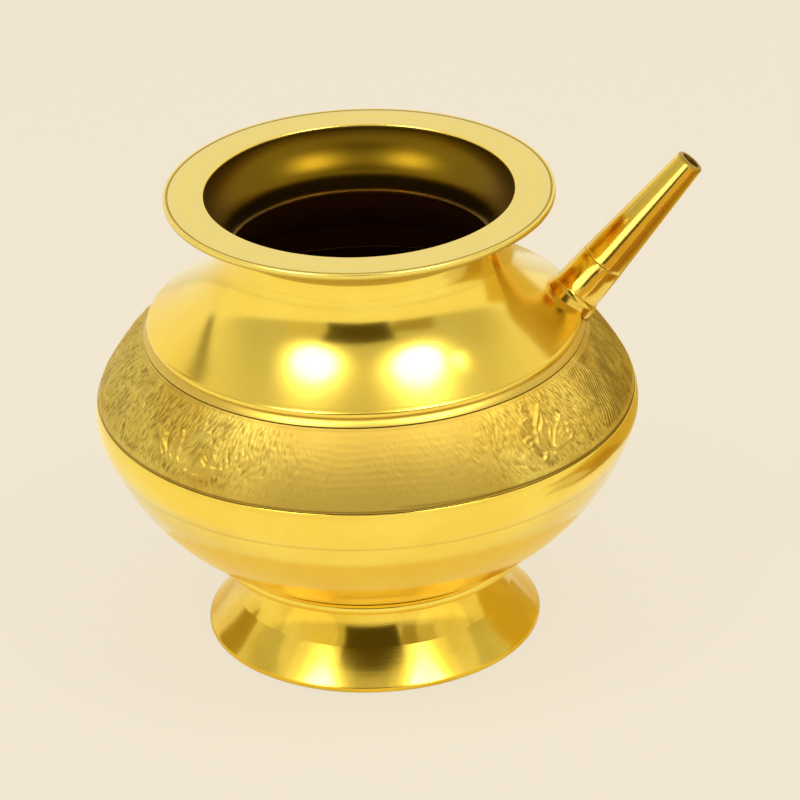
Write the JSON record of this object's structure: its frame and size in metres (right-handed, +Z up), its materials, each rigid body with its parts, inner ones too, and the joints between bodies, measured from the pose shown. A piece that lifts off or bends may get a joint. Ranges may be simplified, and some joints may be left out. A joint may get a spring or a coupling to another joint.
{
  "type": "spouted water pot",
  "caption": "Polished brass water pot with a flat lip, short neck, chased band, flared foot and a slanted tapered spout for pouring.",
  "frame": {"origin": "on the standing plane, at the middle of the footprint's bounding box; the pot's turning axis is vertical at x = -7.9 mm", "axes": "+Z up out of the mouth, +X towards the spout's tip"},
  "size_m": [0.1407, 0.125, 0.1128],
  "materials": {
    "polished_brass": "mirror polish with fine wiping marks",
    "satin_brass": "turned satin",
    "chased_brass": "chased and stippled, dark in the recesses",
    "braze_filler": "as brazed"
  },
  "bodies": {
    "root": {"mouth_ring": "satin_brass", "shoulder": "polished_brass", "engraved_band": "chased_brass", "bowl": "polished_brass", "foot_collar": "polished_brass", "foot": "polished_brass", "spout_collar": "polished_brass", "spout_ferrule": "polished_brass", "spout_tube": "polished_brass", "neck_seam_braze": "braze_filler", "shoulder_seam_braze": "braze_filler", "belly_seam_braze": "braze_filler", "foot_seam_braze": "braze_filler", "spout_root_braze": "braze_filler"}
  },
  "joints": []
}
